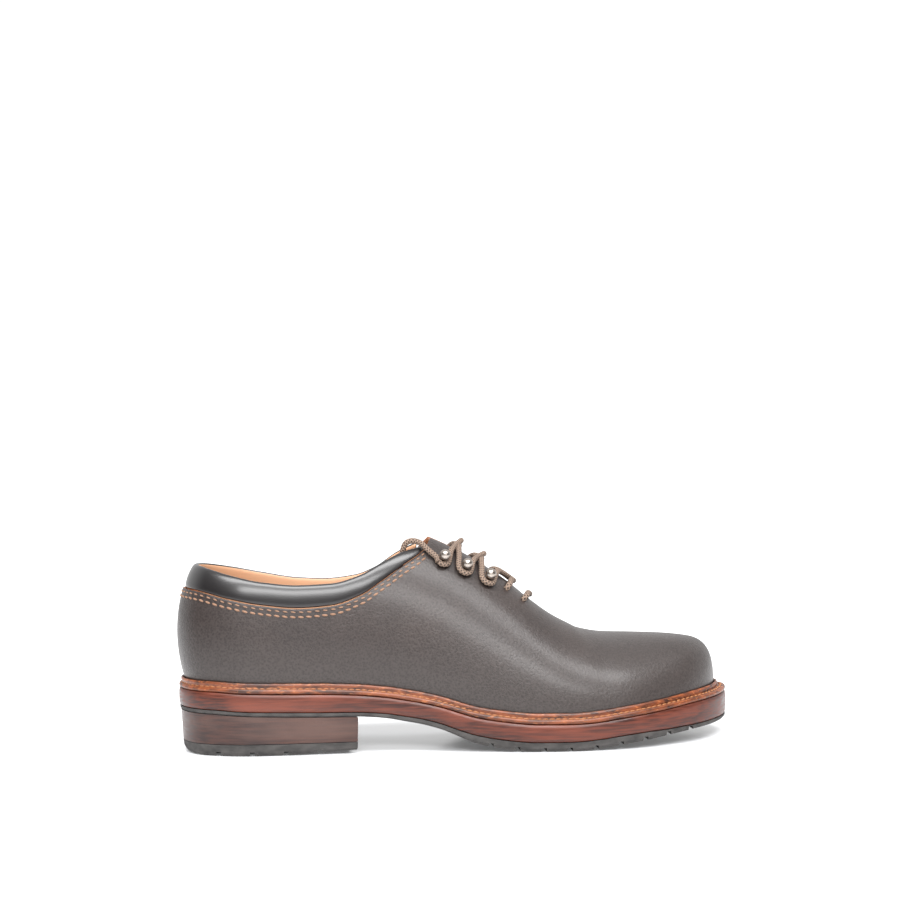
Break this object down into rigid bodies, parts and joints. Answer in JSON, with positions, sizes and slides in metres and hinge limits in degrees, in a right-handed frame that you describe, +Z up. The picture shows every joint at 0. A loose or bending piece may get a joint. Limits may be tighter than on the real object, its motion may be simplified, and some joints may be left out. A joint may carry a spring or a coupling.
{
  "type": "wholecut derby shoe",
  "caption": "Right lace-up shoe cut from one piece of dark brown leather, with a padded collar, hooks, storm welt, lugged rubber sole and stacked heel.",
  "frame": {"origin": "middle of the shoe's length and width, on the floor", "axes": "+X towards the toe, +Y towards the inner (medial) side, +Z up"},
  "size_m": [0.3085, 0.1075, 0.1137],
  "materials": {
    "upper_leather": "pebble-grained calf, waxed",
    "collar_leather": "smooth padded calf, satin",
    "lining_leather": "vegetable-tanned lining, matt",
    "welt_leather": "tan, stitched, waxed edge",
    "midsole_leather": "burnished edge",
    "heel_leather": "stacked lifts, burnished",
    "sole_rubber": "moulded, matt",
    "lace_braid": "round braid, waxed",
    "lace_tip": "plain",
    "hook_metal": "dark nickel"
  },
  "bodies": {
    "root": {"outsole": "sole_rubber", "heel_top_piece": "sole_rubber", "midsole": "midsole_leather", "heel_stack": "heel_leather", "welt": "welt_leather", "insole": "lining_leather", "upper": "upper_leather", "collar": "collar_leather", "tongue": "upper_leather", "lace": "lace_braid", "lace_bar": "lace_braid", "lace_tail": "lace_braid", "lace_tip": "lace_tip", "hook_lateral_1": "hook_metal", "hook_lateral_2": "hook_metal", "hook_lateral_3": "hook_metal", "hook_medial_1": "hook_metal", "hook_medial_2": "hook_metal", "hook_medial_3": "hook_metal"}
  },
  "joints": []
}
